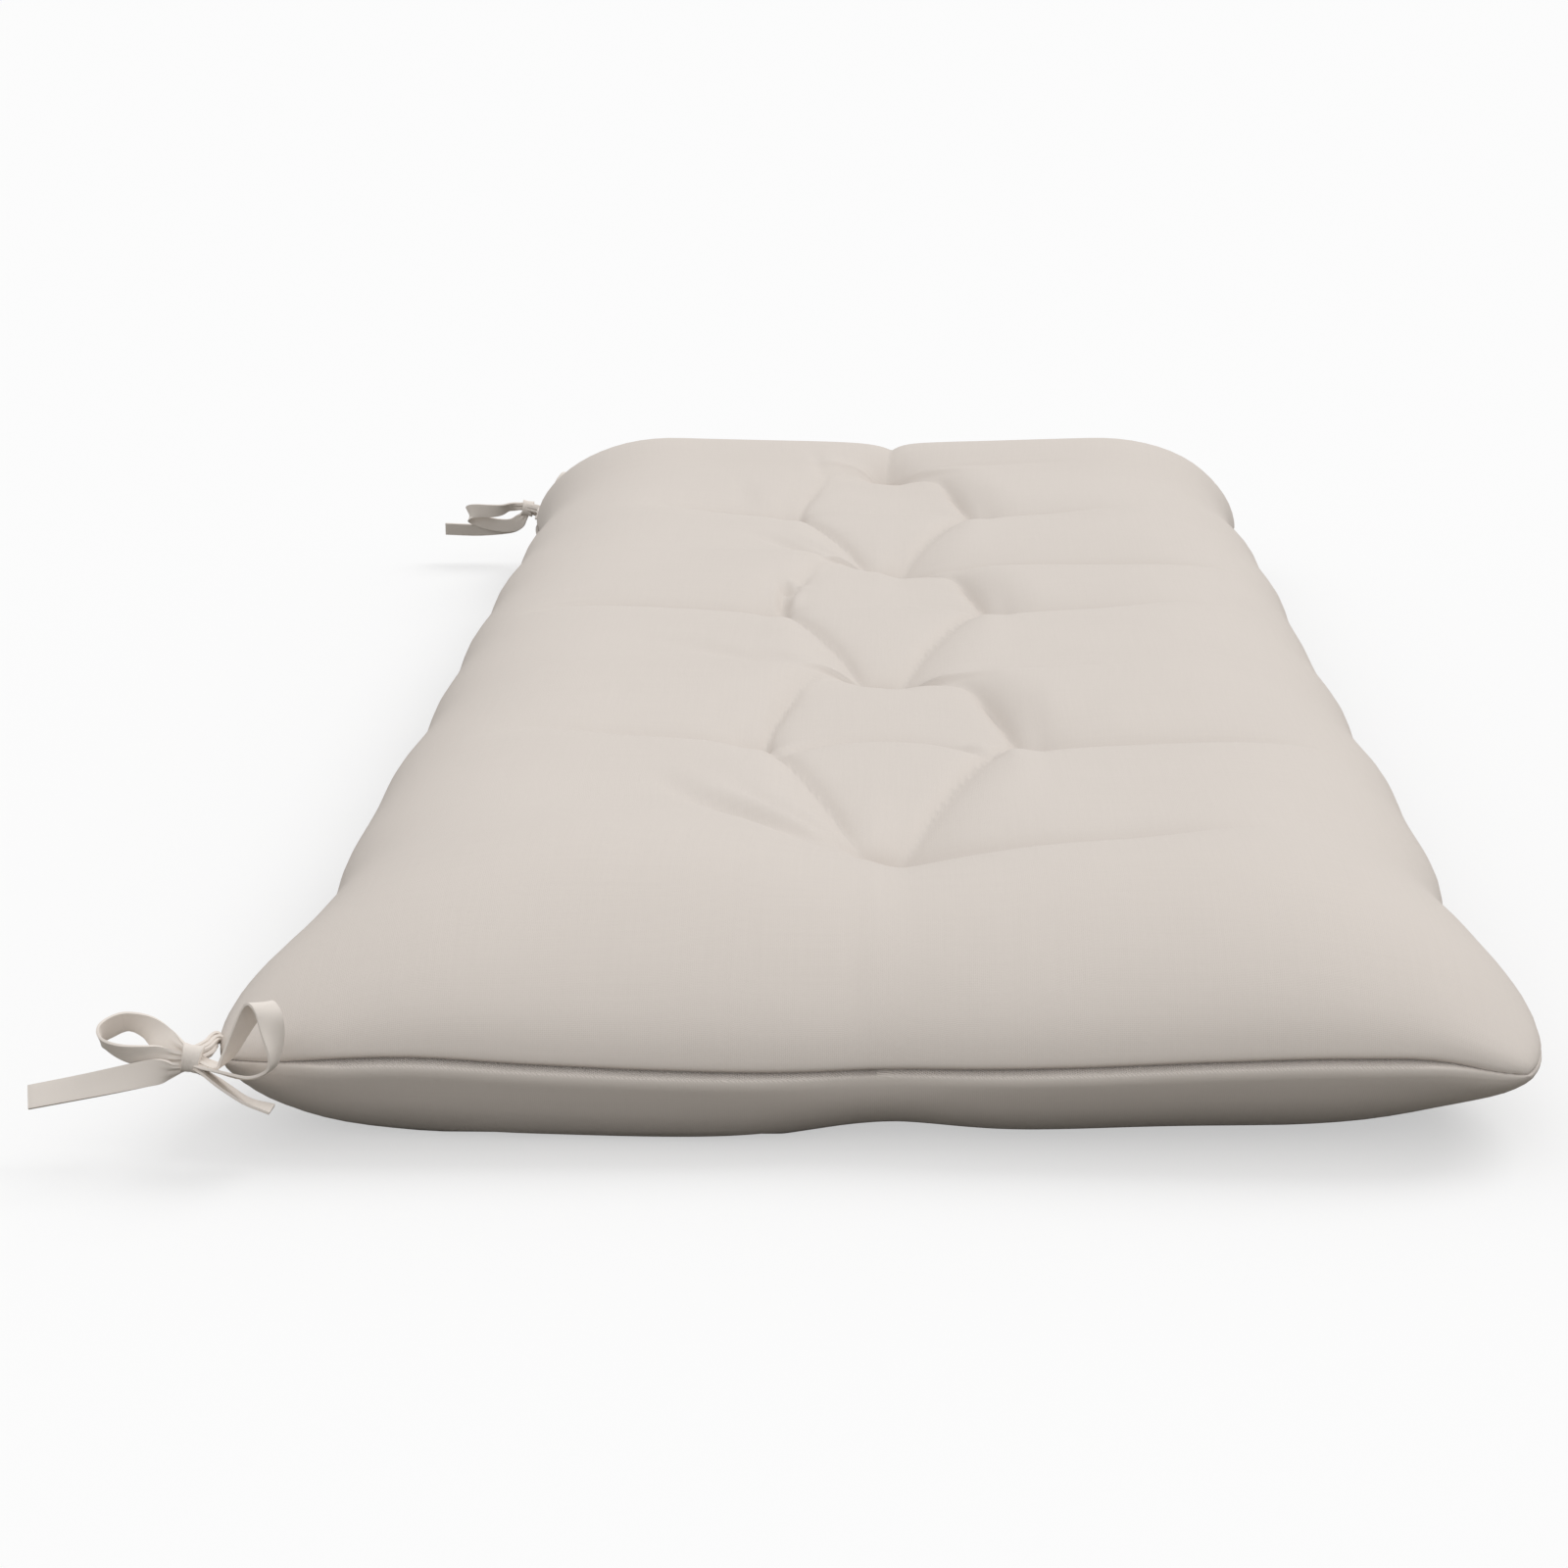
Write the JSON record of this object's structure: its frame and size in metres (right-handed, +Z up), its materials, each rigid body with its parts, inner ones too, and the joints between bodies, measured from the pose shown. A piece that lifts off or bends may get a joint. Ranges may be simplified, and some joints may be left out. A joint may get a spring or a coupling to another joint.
{
  "type": "bench cushion",
  "caption": "Long rectangular tufted bench cushion with a plain edge seam, puffed ends, a row of diamond tucks along the top and a ribbon tie bowed at each back corner.",
  "frame": {"origin": "middle of the flattened underside, on the surface the cushion rests on", "axes": "+X along the bench, +Y towards the back edge where the ties are sewn, +Z up through the tufted face"},
  "size_m": [1.247, 0.5801, 0.1101],
  "materials": {
    "cover_cloth": "matt plain-weave cotton",
    "tie_tape": "matt woven tape"
  },
  "bodies": {
    "root": {"cushion": "cover_cloth", "tie_near": "tie_tape", "tie_far": "tie_tape"}
  },
  "joints": []
}
